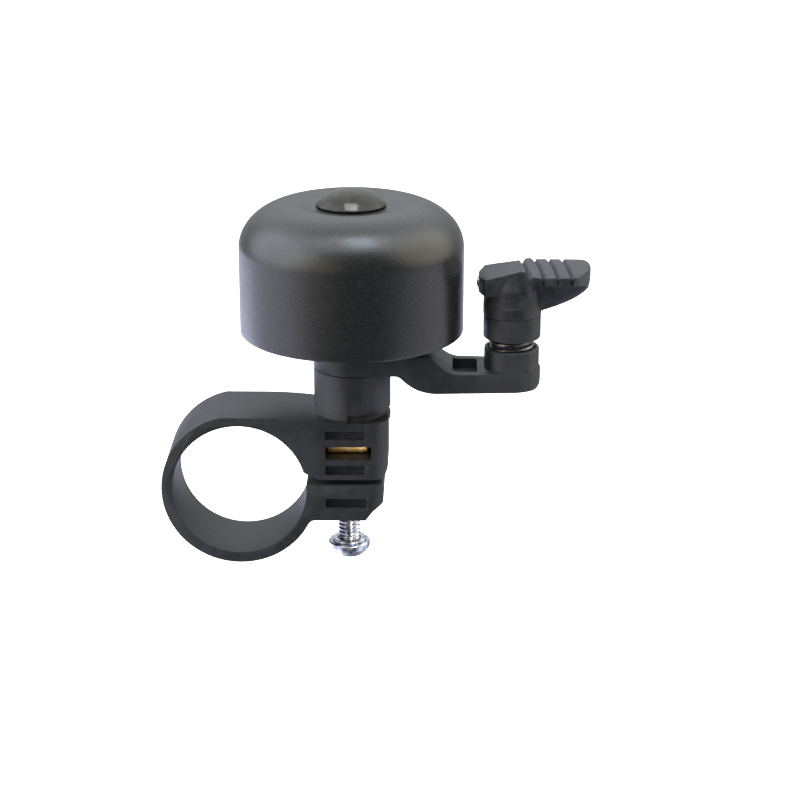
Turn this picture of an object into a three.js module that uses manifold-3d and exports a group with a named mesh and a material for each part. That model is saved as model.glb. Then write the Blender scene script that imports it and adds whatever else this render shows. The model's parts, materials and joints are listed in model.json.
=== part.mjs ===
// Bicycle bell: an aluminium dome on a nylon handlebar clamp, with a thumb striker that stands on a
// bending coil spring at the end of a swivelling arm.
// Millimetres, +Z up. The origin is the centre of the handlebar bore, and the handlebar runs along Y.
import * as THREE from 'three';
import { mergeVertices } from 'three/addons/utils/BufferGeometryUtils.js';
import Module from 'manifold-3d';

const wasm = await Module();
wasm.setup();

// Where the two upright axes stand. Bell heights are measured from the plane of the dome's rim.
const BELL_X = 18.85;
const RIM_Z = 26.2;
const HUB_X = 26.65;

// Handlebar clamp
const BORE_RADIUS = 11.3;
const BAND_THICKNESS = 1.8;
const BAND_TOP = 12.75;
const HALF_DEPTH = 7.0;
const BLOCK = { left: 12.5, right: 24.95, top: 11.9, bottom: 1.9, corner: 3.0 };
const BLOCK_CHAMFER = { x: 0.6, z: 1.6 };
const EAR = { left: 12.4, right: 24.2, top: 0.9, bottom: -5.4, bevelX: 3.0, bevelZ: 3.0 };
const LEAD = { left: 10.0, right: 13.2, height: 1.9 };
const SLOTS = [
  { left: 14.5, right: 21.1, bottom: 9.0, top: 10.5 },
  { left: 14.5, right: 21.1, bottom: 2.7, top: 4.4 },
  { left: 14.5, right: 21.4, bottom: -3.2, top: -1.5 },
];
const SLOT_DEPTH = 1.7;
const NUT = { width: 7.0, height: 2.1, bottom: 5.5 };
const NUT_ROOM = { left: 14.4, right: 22.2, play: 0.15 };

// Clamp screw, standing upright under the block
const SCREW_X = 18.15;
const SCREW = { thread: 1.85, tip: 8.2, bearing: -11.55, head: 3.55, headHeight: 2.85 };
const RECESS = { length: 3.8, width: 0.8, depth: 1.3 };
const SCREW_RISE = 5.25;
const SCREW_WASHER = { outer: 2.9, thickness: 0.4 };
const FERRULE = { outer: 2.6, inner: 2.1, flange: 3.1, flangeHeight: 0.3 };

// Post under the bell, with a narrow spigot that the arm turns on
const POST = { radius: 6.45, shoulder: -6.45, spigot: 4.0, top: -2.75 };
const GROOVE = { radius: 5.85, bottom: -14.3, top: -13.1, from: -0.5 };
const INSERT = { outer: 2.9, bottom: -10.2, bore: 2.05 };

// Bell stack
const DOME = { radius: 18.6, wall: 1.2, shoulderZ: 14.3, shoulderWidth: 9.2, top: 21.7, hole: 2.3 };
const SEAT = { radius: 6.0, slope: 0.9, depth: 0.5 };
const SEAT_Z = DOME.top - SEAT.depth;
const SPACER = { bottom: -2.6, top: 18.8, outer: 6.0, bore: 2.2 };
const CUSHION = { outer: 5.2, top: SEAT_Z - DOME.wall - 0.05 };
const DOME_WASHER = { outer: 2.75, top: SEAT_Z + 0.4 };
const DOME_SCREW = { shank: 1.95, bottom: -9.6, head: 2.75, headHeight: 0.95 };
const CAP = { radius: 5.8, rim: 0.85, rise: 1.85, cavity: 3.0, cavityHeight: 1.5 };

// Swivelling arm, as its side view: a collar, a sloping shoulder and a low bar with a round end
const COLLAR = { bottom: -6.35, top: -3.05, bore: 4.1 };
const BAR = { bottom: -9.5, top: -6.25, end: 4.85 };
const BOSS = { base: 4.85, crown: 4.6, top: -2.7, floor: -6.1 };
const POCKET = { inner: 16.8, outer: 20.9, halfWidth: 3.7, depth: 1.6 };
const WASHER = { inner: 4.1, outer: 5.9, bottom: -2.98, top: -2.68 };

// Flexible neck: a close coil spring between two plugs, inside the boss and the striker's sleeve
const COIL = { radius: 3.38, wire: 0.42, bottom: -5.5, top: 4.7, turns: 10 };
const SPRING_SPACE = 3.92;
const PLUG_RADIUS = 2.8;
const LOWER_PLUG = { bottom: -6.05, top: -3.2, bore: 1.55, boreTop: -3.6 };
const UPPER_PLUG = { bottom: -0.3, shoulder: 5.2, stem: 1.8, top: 7.2 };
const SPRING_SCREW = { thread: 1.5, tip: -3.8, head: 2.8, headHeight: 1.2 };
const SPRING_SCREW_RECESS = { length: 3.2, width: 0.6, depth: 0.6 };

// Thumb striker, measured from the hub's own axis
const SLEEVE = { radius: 4.8, bottom: -1.1, top: 2.9 };
const HUB = { radius: 4.85, bottom: 2.95, noseBottom: 7.0 };
const NOSE = { tip: -5.7, halfWidth: 4.6, sagitta: 1.4 };
const PIN = { radius: 0.9, z: 8.3, proud: 0.3, length: 2.6 };
const PADDLE = { halfWidth: 6.0, tip: 13.0, crest: 11.1, edge: 10.4, noseTop: 9.8 };
const GROOVES = { first: 2.2, pitch: 2.25, count: 4, width: 1.2, depth: 0.6 };

const bell = new THREE.Group();
bell.name = 'bicycle_bell';

// Groups that carry the pieces to their axis
const onAxis = new THREE.Group();
onAxis.position.set(BELL_X, 0, RIM_Z);
const onHub = new THREE.Group();
onHub.position.set(HUB_X, 0, 0);
onAxis.add(onHub);
bell.add(onAxis);

// Shape helpers -------------------------------------------------------------------------------------

// A solid from any closed three.js geometry.
function solid(geometry) {
  const bare = geometry.index ? geometry.toNonIndexed() : geometry.clone();
  bare.deleteAttribute('normal');
  bare.deleteAttribute('uv');
  const merged = mergeVertices(bare, 1e-4);
  const corners = merged.index.array;
  const kept = [];
  for (let i = 0; i < corners.length; i += 3) {
    const [a, b, c] = [corners[i], corners[i + 1], corners[i + 2]];
    if (a !== b && b !== c && c !== a) kept.push(a, b, c);
  }
  return new wasm.Manifold(new wasm.Mesh({
    numProp: 3,
    vertProperties: new Float32Array(merged.attributes.position.array),
    triVerts: Uint32Array.from(kept),
  }));
}

function geometryOf(body) {
  const mesh = body.getMesh();
  const geometry = new THREE.BufferGeometry();
  geometry.setAttribute('position', new THREE.BufferAttribute(mesh.vertProperties, 3));
  geometry.setIndex(new THREE.BufferAttribute(mesh.triVerts, 1));
  geometry.computeVertexNormals();
  return geometry;
}

// A ring or disc about Z, from [radius, z] corners listed anticlockwise.
function turned(corners, segments = 36) {
  const profile = corners.map(([r, z]) => new THREE.Vector2(r, z));
  const onTheAxis = corners[0][0] === 0;
  if (!onTheAxis) profile.push(profile[0].clone());
  return new THREE.LatheGeometry(profile, segments).rotateX(Math.PI / 2);
}

function disc(radius, bottom, top, segments = 36) {
  return turned([[0, bottom], [radius, bottom], [radius, top], [0, top]], segments);
}

function tube(inner, outer, bottom, top, segments = 36) {
  return turned([[inner, bottom], [outer, bottom], [outer, top], [inner, top]], segments);
}

function box(low, high) {
  const size = high.map((value, i) => value - low[i]);
  return new THREE.BoxGeometry(...size).translate(...high.map((value, i) => (value + low[i]) / 2));
}

// Two crossed slots, sunk upwards into the underside of a screw head.
function crossRecess(recess, bottom) {
  const long = recess.length / 2;
  const thin = recess.width / 2;
  const roof = bottom + recess.depth;
  return [
    box([-long, -thin, bottom - 1], [long, thin, roof]),
    box([-thin, -long, bottom - 1], [thin, long, roof]),
  ];
}

// A side view in X and Z, given thickness along Y from -half to +half.
function sideView(shape, half, curveSegments = 24) {
  return new THREE.ExtrudeGeometry(shape, { depth: 2 * half, bevelEnabled: false, curveSegments })
    .rotateX(Math.PI / 2)
    .translate(0, half, 0);
}

// A plan view in X and Y, given height along Z.
function planView(shape, bottom, top, curveSegments = 12) {
  return new THREE.ExtrudeGeometry(shape, { depth: top - bottom, bevelEnabled: false, curveSegments })
    .translate(0, 0, bottom);
}

function shapeOf(corners) {
  return new THREE.Shape(corners.map(([x, y]) => new THREE.Vector2(x, y)));
}

function joined(...geometries) {
  return geometries.map(solid).reduce((sum, next) => sum.add(next));
}

function less(body, ...geometries) {
  return geometries.map(solid).reduce((rest, next) => rest.subtract(next), body);
}

function add(parent, name, geometry, look) {
  const mesh = new THREE.Mesh(geometry, new THREE.MeshStandardMaterial(look));
  mesh.name = name;
  parent.add(mesh);
}

// Materials -----------------------------------------------------------------------------------------

const NYLON = { color: 0x2b2a2d, roughness: 0.55, metalness: 0 };
const LEVER_NYLON = { color: 0x38373b, roughness: 0.5, metalness: 0 };
const PAINTED = { color: 0x2e2d30, roughness: 0.38, metalness: 0.3 };
const GLOSS = { color: 0x0b0b0c, roughness: 0.08, metalness: 0 };
const RUBBER = { color: 0x151515, roughness: 0.9, metalness: 0 };
const BRASS = { color: 0xb08a3c, roughness: 0.3, metalness: 1 };
const ZINC = { color: 0xc9ccd2, roughness: 0.22, metalness: 1 };
const STEEL = { color: 0x9c9da0, roughness: 0.35, metalness: 1 };

// Handlebar clamp -----------------------------------------------------------------------------------

function clampBracket() {
  const outer = BORE_RADIUS + BAND_THICKNESS;
  const ring = disc(outer, -HALF_DEPTH, HALF_DEPTH, 60).rotateX(Math.PI / 2);
  const block = sideView(shapeOf([
    [0, BAND_TOP], [0, BLOCK.bottom], [BLOCK.right - BLOCK_CHAMFER.x, BLOCK.bottom],
    [BLOCK.right, BLOCK.bottom + BLOCK_CHAMFER.z], [BLOCK.right, BLOCK.top],
    [BLOCK.left, BLOCK.top + 0.3], [4, BAND_TOP],
  ]), HALF_DEPTH);
  const ear = sideView(shapeOf([
    [BORE_RADIUS - 1, EAR.top], [BORE_RADIUS - 1, EAR.bottom - 0.7], [EAR.left, EAR.bottom],
    [EAR.right - EAR.bevelX, EAR.bottom], [EAR.right - 1.8, EAR.bottom + 1.6],
    [EAR.right, EAR.bottom + EAR.bevelZ], [EAR.right, EAR.top],
  ]), HALF_DEPTH);
  const profile = joined(ring, block, ear).intersect(solid(bracketPlan(outer + 1))).add(post());

  const bore = disc(BORE_RADIUS, -HALF_DEPTH - 1, HALF_DEPTH + 1, 60).rotateX(Math.PI / 2);
  const split = box(
    [BORE_RADIUS - 2, -HALF_DEPTH - 1, EAR.top], [BLOCK.right + 1, HALF_DEPTH + 1, BLOCK.bottom]);
  const leadEdge = BLOCK.bottom - 0.1;
  const lead = sideView(shapeOf([
    [LEAD.left, leadEdge + LEAD.height], [LEAD.left, leadEdge], [LEAD.right, leadEdge],
  ]), HALF_DEPTH + 1);
  return less(profile, bore, split, lead, ...frontPockets(), ...boltHoles());
}

// The plan of the whole clamp: straight sides, with the block's two outer corners rounded.
function bracketPlan(reach) {
  const corner = BLOCK.corner;
  const plan = new THREE.Shape();
  plan.moveTo(-reach, -HALF_DEPTH);
  plan.lineTo(BLOCK.right - corner, -HALF_DEPTH);
  plan.absarc(BLOCK.right - corner, -HALF_DEPTH + corner, corner, -Math.PI / 2, 0);
  plan.absarc(BLOCK.right - corner, HALF_DEPTH - corner, corner, 0, Math.PI / 2);
  plan.lineTo(-reach, HALF_DEPTH);
  return planView(plan, -reach, BAND_TOP);
}

// The post stands on the block, relieved round its outer half where it meets the block's top.
function post() {
  const foot = BLOCK.top - 1 - RIM_Z;
  const column = solid(turned([
    [0, foot], [POST.radius, foot], [POST.radius, POST.shoulder], [POST.spigot, POST.shoulder],
    [POST.spigot, POST.top], [0, POST.top],
  ]));
  const wide = POST.radius + 1;
  const outerHalf = box([GROOVE.from, -wide, GROOVE.bottom - 1], [wide, wide, GROOVE.top + 1]);
  const relief = solid(tube(GROOVE.radius, wide, GROOVE.bottom, GROOVE.top)).intersect(solid(outerHalf));
  return column.subtract(relief).translate([BELL_X, 0, RIM_Z]);
}

// The shallow slots in the front face, and the room behind the middle one that the nut slides into.
function frontPockets() {
  const front = -HALF_DEPTH;
  const slots = SLOTS.map((slot) => box(
    [slot.left, front - 1, slot.bottom], [slot.right, front + SLOT_DEPTH, slot.top]));
  const { left, right, play } = NUT_ROOM;
  const nutRoom = box(
    [left, front - 1, NUT.bottom - play], [right, NUT.width / 2 + play, NUT.bottom + NUT.height + play]);
  return [...slots, nutRoom];
}

// The holes for the clamp screw, its ferrule and the post's threaded insert.
function boltHoles() {
  const screwHole = disc(SCREW.thread + 0.3, EAR.top, SCREW.tip + SCREW_RISE + 0.4, 24);
  const flange = FERRULE.flange + 0.05;
  const barrel = FERRULE.outer + 0.05;
  const step = EAR.bottom + FERRULE.flangeHeight;
  const ferruleHole = turned([
    [0, EAR.bottom - 1], [flange, EAR.bottom - 1], [flange, step], [barrel, step],
    [barrel, EAR.top + 0.1], [0, EAR.top + 0.1],
  ], 24);
  const insertHole = disc(INSERT.outer + 0.05, INSERT.bottom - 0.1, POST.top + 1);
  return [
    screwHole.translate(SCREW_X, 0, 0),
    ferruleHole.translate(SCREW_X, 0, 0),
    insertHole.translate(BELL_X, 0, RIM_Z),
  ];
}

function clampNut() {
  const half = NUT.width / 2;
  const body = solid(box([-half, -half, NUT.bottom], [half, half, NUT.bottom + NUT.height]));
  return less(body, disc(SCREW.thread + 0.06, NUT.bottom - 1, NUT.bottom + NUT.height + 1, 24));
}

function earFerrule() {
  const bottom = EAR.bottom + 0.02;
  const step = bottom + FERRULE.flangeHeight - 0.05;
  return turned([
    [FERRULE.inner, bottom], [FERRULE.flange, bottom], [FERRULE.flange, step], [FERRULE.outer, step],
    [FERRULE.outer, EAR.top - 0.1], [FERRULE.inner, EAR.top - 0.1],
  ], 24);
}

// The screw points up; its raised round head hangs below with a cross recess.
function clampScrew() {
  const face = SCREW.bearing;
  const low = face - SCREW.headHeight;
  const body = solid(turned([
    [0, low], [1.3, low], [2.4, low + 0.4], [3.15, low + 1.0], [SCREW.head, low + 1.8],
    [SCREW.head, face - 0.35], [SCREW.head - 0.3, face], [SCREW.thread, face],
    [SCREW.thread, SCREW.tip - 0.6], [SCREW.thread - 0.5, SCREW.tip], [0, SCREW.tip],
  ], 24));
  return less(body, ...crossRecess(RECESS, low));
}

// Bell stack ----------------------------------------------------------------------------------------

// The dome's section: a straight wall, a quarter-ellipse shoulder and a flat crown, of even thickness.
function bellDome() {
  const steps = 7;
  function shoulder(offset) {
    const points = [];
    for (let i = 0; i <= steps; i += 1) {
      const turn = (i / steps) * (Math.PI / 2);
      points.push([
        DOME.radius - DOME.shoulderWidth + (DOME.shoulderWidth - offset) * Math.cos(turn),
        DOME.shoulderZ + (DOME.top - DOME.shoulderZ - offset) * Math.sin(turn),
      ]);
    }
    return points;
  }
  return turned([
    [DOME.radius - DOME.wall, 0], [DOME.radius, 0], ...shoulder(0), [SEAT.radius + SEAT.slope, DOME.top],
    [SEAT.radius, SEAT_Z], [DOME.hole, SEAT_Z], [DOME.hole, SEAT_Z - DOME.wall],
    [SEAT.radius, SEAT_Z - DOME.wall], [SEAT.radius + SEAT.slope, DOME.top - DOME.wall],
    ...shoulder(DOME.wall).reverse(),
  ], 48);
}

function screwCap() {
  const bottom = SEAT_Z + 0.03;
  const rim = bottom + CAP.rim;
  const crown = [];
  for (let i = 0; i <= 5; i += 1) {
    const turn = (i / 5) * (Math.PI / 2);
    crown.push([CAP.radius * Math.cos(turn), rim + CAP.rise * Math.sin(turn)]);
  }
  crown[5][0] = 0;
  const roof = bottom + CAP.cavityHeight;
  return turned([[0, roof], [CAP.cavity, roof], [CAP.cavity, bottom], [CAP.radius, bottom], ...crown]);
}

function domeScrew() {
  const face = DOME_WASHER.top + 0.03;
  return turned([
    [0, DOME_SCREW.bottom], [1.5, DOME_SCREW.bottom], [DOME_SCREW.shank, DOME_SCREW.bottom + 0.5],
    [DOME_SCREW.shank, face], [DOME_SCREW.head, face], [DOME_SCREW.head, face + 0.5],
    [DOME_SCREW.head - 0.5, face + DOME_SCREW.headHeight], [0, face + DOME_SCREW.headHeight],
  ]);
}

// Swivelling arm ------------------------------------------------------------------------------------

function strikerArm() {
  const end = HUB_X + BAR.end;
  const side = new THREE.Shape();
  side.moveTo(-POST.radius - 1, COLLAR.bottom);
  side.lineTo(7.2, COLLAR.bottom);
  side.quadraticCurveTo(7.9, COLLAR.bottom, 8.5, -7.0);
  side.quadraticCurveTo(10.9, BAR.bottom, 14.5, BAR.bottom);
  side.lineTo(end - 1.3, BAR.bottom);
  side.quadraticCurveTo(end, BAR.bottom, end, BAR.bottom + 1.3);
  side.lineTo(end, BAR.top);
  side.lineTo(18.0, BAR.top);
  side.quadraticCurveTo(16.2, BAR.top, 14.4, -4.5);
  side.quadraticCurveTo(13.2, COLLAR.top, 11.0, COLLAR.top);
  side.lineTo(-POST.radius - 1, COLLAR.top);

  const lean = Math.asin((POST.radius - BAR.end) / HUB_X);
  const plan = new THREE.Shape();
  plan.absarc(0, 0, POST.radius, Math.PI / 2 - lean, 1.5 * Math.PI + lean);
  plan.absarc(HUB_X, 0, BAR.end, -Math.PI / 2 + lean, Math.PI / 2 - lean);
  const outline = solid(sideView(side, POST.radius + 1, 8))
    .intersect(solid(planView(plan, BAR.bottom - 1, COLLAR.top + 1, 24)));

  const boss = turned([
    [0, BAR.top - 1], [BOSS.base, BAR.top - 1], [BOSS.base, BAR.top], [BOSS.crown, BOSS.top], [0, BOSS.top],
  ]).translate(HUB_X, 0, 0);
  const pocket = box(
    [POCKET.inner, -POCKET.halfWidth, BAR.top - POCKET.depth], [POCKET.outer, POCKET.halfWidth, 0]);
  const headTop = BAR.bottom + SPRING_SCREW.headHeight + 0.1;
  const springRoom = disc(SPRING_SPACE, BOSS.floor, 0).translate(HUB_X, 0, 0);
  const screwHole = disc(SPRING_SCREW.thread + 0.1, BAR.bottom - 1, 0, 24).translate(HUB_X, 0, 0);
  const headRoom = disc(SPRING_SCREW.head + 0.1, BAR.bottom - 1, headTop, 24).translate(HUB_X, 0, 0);
  const spigotHole = disc(COLLAR.bore, BAR.bottom, 0);
  return less(outline.add(solid(boss)), spigotHole, pocket, springRoom, screwHole, headRoom);
}

// Flexible neck -------------------------------------------------------------------------------------

class CoilCurve extends THREE.Curve {
  getPoint(t, target = new THREE.Vector3()) {
    const turn = t * COIL.turns * 2 * Math.PI;
    const z = COIL.bottom + t * (COIL.top - COIL.bottom);
    return target.set(COIL.radius * Math.cos(turn), COIL.radius * Math.sin(turn), z);
  }
}

function flexSpring() {
  const wire = new THREE.Shape();
  wire.absarc(0, 0, COIL.wire, 0, 2 * Math.PI);
  return new THREE.ExtrudeGeometry(wire, {
    steps: COIL.turns * 12, extrudePath: new CoilCurve(), bevelEnabled: false, curveSegments: 3,
  });
}

function lowerPlug() {
  return turned([
    [LOWER_PLUG.bore, LOWER_PLUG.bottom], [PLUG_RADIUS, LOWER_PLUG.bottom], [PLUG_RADIUS, LOWER_PLUG.top],
    [0, LOWER_PLUG.top], [0, LOWER_PLUG.boreTop], [LOWER_PLUG.bore, LOWER_PLUG.boreTop],
  ], 24);
}

function upperPlug() {
  return turned([
    [0, UPPER_PLUG.bottom], [PLUG_RADIUS, UPPER_PLUG.bottom], [PLUG_RADIUS, UPPER_PLUG.shoulder],
    [UPPER_PLUG.stem, UPPER_PLUG.shoulder], [UPPER_PLUG.stem, UPPER_PLUG.top], [0, UPPER_PLUG.top],
  ], 24);
}

function springScrew() {
  const low = BAR.bottom + 0.1;
  const face = BAR.bottom + SPRING_SCREW.headHeight;
  const body = solid(turned([
    [0, low], [SPRING_SCREW.head - 0.5, low], [SPRING_SCREW.head, low + 0.5], [SPRING_SCREW.head, face],
    [SPRING_SCREW.thread, face], [SPRING_SCREW.thread, SPRING_SCREW.tip], [0, SPRING_SCREW.tip],
  ], 24));
  return less(body, ...crossRecess(SPRING_SCREW_RECESS, low));
}

// Thumb striker -------------------------------------------------------------------------------------

function thumbLever() {
  const wide = PADDLE.halfWidth;
  const plan = new THREE.Shape();
  const back = NOSE.tip + NOSE.sagitta;
  plan.moveTo(back, NOSE.halfWidth);
  plan.quadraticCurveTo(NOSE.tip - NOSE.sagitta, 0, back, -NOSE.halfWidth);
  plan.lineTo(back + 1, -NOSE.halfWidth);
  plan.quadraticCurveTo(-0.5, -4.1, 1.5, -3.4);
  plan.lineTo(2.7, -wide + 0.2);
  plan.quadraticCurveTo(6.5, -wide - 0.1, 9.2, -wide + 0.2);
  plan.quadraticCurveTo(PADDLE.tip - 0.4, -wide + 1.2, PADDLE.tip, 0);
  plan.quadraticCurveTo(PADDLE.tip - 0.4, wide - 1.2, 9.2, wide - 0.2);
  plan.quadraticCurveTo(6.5, wide + 0.1, 2.7, wide - 0.2);
  plan.lineTo(1.5, 3.4);
  plan.quadraticCurveTo(-0.5, 4.1, back + 1, NOSE.halfWidth);

  const side = new THREE.Shape();
  side.moveTo(NOSE.tip - 1, HUB.noseBottom);
  side.lineTo(0, HUB.noseBottom);
  side.lineTo(0, HUB.bottom);
  side.lineTo(4.2, HUB.bottom);
  side.bezierCurveTo(8.3, 5.1, 12.0, 6.5, PADDLE.tip, 8.7);
  side.lineTo(PADDLE.tip, 10.2);
  side.quadraticCurveTo(PADDLE.tip - 0.1, 10.9, PADDLE.tip - 1, 10.95);
  side.lineTo(1.6, PADDLE.crest);
  side.lineTo(NOSE.tip + 0.4, PADDLE.noseTop);
  side.lineTo(NOSE.tip - 0.2, PADDLE.noseTop - 0.5);
  side.lineTo(NOSE.tip - 1, PADDLE.noseTop - 0.5);

  // Seen along X the head narrows downwards under a gently arched top.
  const cross = new THREE.Shape();
  cross.moveTo(-1.8, HUB.bottom);
  cross.lineTo(1.8, HUB.bottom);
  cross.quadraticCurveTo(wide - 0.6, 6.4, wide, 9.2);
  cross.lineTo(wide, PADDLE.edge);
  cross.quadraticCurveTo(0, 2 * PADDLE.crest - PADDLE.edge, -wide, PADDLE.edge);
  cross.lineTo(-wide, 9.2);
  cross.quadraticCurveTo(-wide + 0.6, 6.4, -1.8, HUB.bottom);
  const across = new THREE.ExtrudeGeometry(cross, { depth: 30, bevelEnabled: false, curveSegments: 10 })
    .rotateX(Math.PI / 2)
    .rotateZ(Math.PI / 2)
    .translate(-10, 0, 0);

  const head = solid(sideView(side, wide + 1, 10))
    .intersect(solid(planView(plan, HUB.bottom, PADDLE.crest + 1, 8)))
    .intersect(solid(across));
  const hub = disc(HUB.radius, HUB.bottom, 9.3);
  const grooves = [];
  for (let i = 0; i < GROOVES.count; i += 1) grooves.push(valleyCut(GROOVES.first + i * GROOVES.pitch));
  const pinHole = disc(PIN.radius + 0.05, -PIN.length, 3, 16)
    .rotateY(-Math.PI / 2)
    .translate(NOSE.tip, 0, PIN.z);
  const springRoom = disc(SPRING_SPACE, HUB.bottom - 1, UPPER_PLUG.shoulder + 0.05);
  const stemHole = disc(UPPER_PLUG.stem + 0.05, HUB.bottom - 1, UPPER_PLUG.top + 0.1, 24);
  return less(head.add(solid(hub)), ...grooves, pinHole, springRoom, stemHole);
}

// One V groove straight across the paddle.
function valleyCut(x) {
  const half = GROOVES.width / 2;
  return sideView(shapeOf([
    [x, PADDLE.crest - GROOVES.depth], [x + half, PADDLE.crest + 0.2], [x + half, PADDLE.crest + 2],
    [x - half, PADDLE.crest + 2], [x - half, PADDLE.crest + 0.2],
  ]), PADDLE.halfWidth + 1);
}

function strikerPin() {
  return turned([
    [0, -PIN.length + 0.1], [PIN.radius, -PIN.length + 0.1], [PIN.radius, PIN.proud - 0.25],
    [PIN.radius * 0.7, PIN.proud - 0.07], [0, PIN.proud],
  ], 16).rotateY(-Math.PI / 2).translate(NOSE.tip, 0, PIN.z);
}

// The assembly --------------------------------------------------------------------------------------

add(bell, 'clamp_bracket', geometryOf(clampBracket()), NYLON);

const onScrew = new THREE.Group();
onScrew.position.set(SCREW_X, 0, 0);
bell.add(onScrew);
add(onScrew, 'clamp_nut', geometryOf(clampNut()), BRASS);
add(onScrew, 'ear_ferrule', earFerrule(), BRASS);
add(onScrew, 'clamp_screw', geometryOf(clampScrew()), ZINC);
const washerBottom = SCREW.bearing + 0.03;
add(onScrew, 'screw_washer', tube(
  SCREW.thread + 0.1, SCREW_WASHER.outer, washerBottom, washerBottom + SCREW_WASHER.thickness, 24), ZINC);

add(onAxis, 'post_insert', tube(INSERT.bore, INSERT.outer, INSERT.bottom, POST.top - 0.05), BRASS);
add(onAxis, 'friction_washer', tube(WASHER.inner, WASHER.outer, WASHER.bottom, WASHER.top), STEEL);
add(onAxis, 'spacer_sleeve', tube(SPACER.bore, SPACER.outer, SPACER.bottom, SPACER.top), NYLON);
add(onAxis, 'dome_cushion', tube(SPACER.bore, CUSHION.outer, SPACER.top + 0.05, CUSHION.top), RUBBER);
add(onAxis, 'bell_dome', bellDome(), PAINTED);
add(onAxis, 'dome_washer', tube(
  DOME_SCREW.shank + 0.1, DOME_WASHER.outer, SEAT_Z + 0.03, DOME_WASHER.top, 24), STEEL);
add(onAxis, 'dome_screw', domeScrew(), STEEL);
add(onAxis, 'screw_cap', screwCap(), GLOSS);
add(onAxis, 'striker_arm', geometryOf(strikerArm()), NYLON);

add(onHub, 'lower_spring_plug', lowerPlug(), STEEL);
add(onHub, 'spring_screw', geometryOf(springScrew()), ZINC);
add(onHub, 'flex_spring', flexSpring(), STEEL);
add(onHub, 'upper_spring_plug', upperPlug(), STEEL);
add(onHub, 'striker_sleeve', tube(SPRING_SPACE, SLEEVE.radius, SLEEVE.bottom, SLEEVE.top), NYLON);
add(onHub, 'thumb_lever', geometryOf(thumbLever()), LEVER_NYLON);
add(onHub, 'striker_pin', strikerPin(), STEEL);

export default bell;
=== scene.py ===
import json
import math

import bmesh
import bpy
from mathutils import Matrix, Vector


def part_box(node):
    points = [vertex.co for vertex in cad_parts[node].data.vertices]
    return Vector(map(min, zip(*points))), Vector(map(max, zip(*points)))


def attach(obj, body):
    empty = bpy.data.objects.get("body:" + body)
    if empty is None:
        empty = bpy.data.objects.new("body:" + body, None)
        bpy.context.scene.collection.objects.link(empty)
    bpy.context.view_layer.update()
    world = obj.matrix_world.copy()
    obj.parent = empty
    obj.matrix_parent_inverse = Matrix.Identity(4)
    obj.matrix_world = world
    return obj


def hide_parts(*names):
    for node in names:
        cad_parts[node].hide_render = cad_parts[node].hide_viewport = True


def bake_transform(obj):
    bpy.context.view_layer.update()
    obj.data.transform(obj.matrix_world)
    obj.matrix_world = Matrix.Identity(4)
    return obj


# Bicycle bell: an aluminium dome on a nylon handlebar clamp, with a thumb striker on a bending spring.
# The frame gives where each piece stands and how big it is. Sections and outlines are in millimetres.
# A corner of an outline is (x, y) or (x, y, radius). The clamp's heights count from its bore, those of the
# post, dome, arm and lever from the dome's rim, and those of the other turned pieces from their own foot.
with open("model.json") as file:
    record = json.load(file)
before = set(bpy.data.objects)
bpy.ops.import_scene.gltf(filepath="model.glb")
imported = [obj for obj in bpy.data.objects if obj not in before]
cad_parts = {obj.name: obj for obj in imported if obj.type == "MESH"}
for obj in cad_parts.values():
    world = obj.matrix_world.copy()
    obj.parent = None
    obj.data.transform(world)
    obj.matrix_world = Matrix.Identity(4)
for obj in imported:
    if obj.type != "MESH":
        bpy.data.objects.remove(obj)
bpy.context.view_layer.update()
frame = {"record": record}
MM = 0.001
SCENE = bpy.context.scene

BODY_OF = {node: body for body, nodes in frame["record"]["behaviour"]["bodies"].items() for node in nodes}
SLOT_OF = {part["node"]: part["material_slot"] for part in frame["record"]["subparts"]}


def box_of(node):
    """The low and high corners of a CAD node's box, in millimetres."""
    low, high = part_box(node)
    return low / MM, high / MM


def middle_x(node):
    """Where an upright piece has its axis."""
    low, high = box_of(node)
    return (low.x + high.x) / 2


DOME_LOW, DOME_HIGH = box_of("bell_dome")
BELL_X = middle_x("bell_dome")
RIM_Z = DOME_LOW.z
DOME_RADIUS = (DOME_HIGH.x - DOME_LOW.x) / 2
HUB_X = middle_x("striker_sleeve")
SCREW_X = middle_x("clamp_screw")
LATHE_SEGMENTS = 128
# Points this close, in metres, are merged: in a new mesh, and along the seams of a combined one.
SAME_POINT = 1e-7
SEAM = 2e-6
FLAT_ANGLE = math.radians(0.3)
PIECES = {}

# Outlines ------------------------------------------------------------------------------------------


def arc(centre, radius, start, end, steps):
    """Points on an arc, from one angle to another in degrees."""
    angles = [math.radians(start + (end - start) * i / steps) for i in range(steps + 1)]
    return [(centre[0] + radius * math.cos(a), centre[1] + radius * math.sin(a)) for a in angles]


def bezier(points, steps):
    """Points on a quadratic or cubic Bezier curve, without its first point."""
    made = []
    for i in range(1, steps + 1):
        t = i / steps
        row = [Vector(p) for p in points]
        while len(row) > 1:
            row = [a.lerp(b, t) for a, b in zip(row, row[1:])]
        made.append(tuple(row[0]))
    return made


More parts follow.
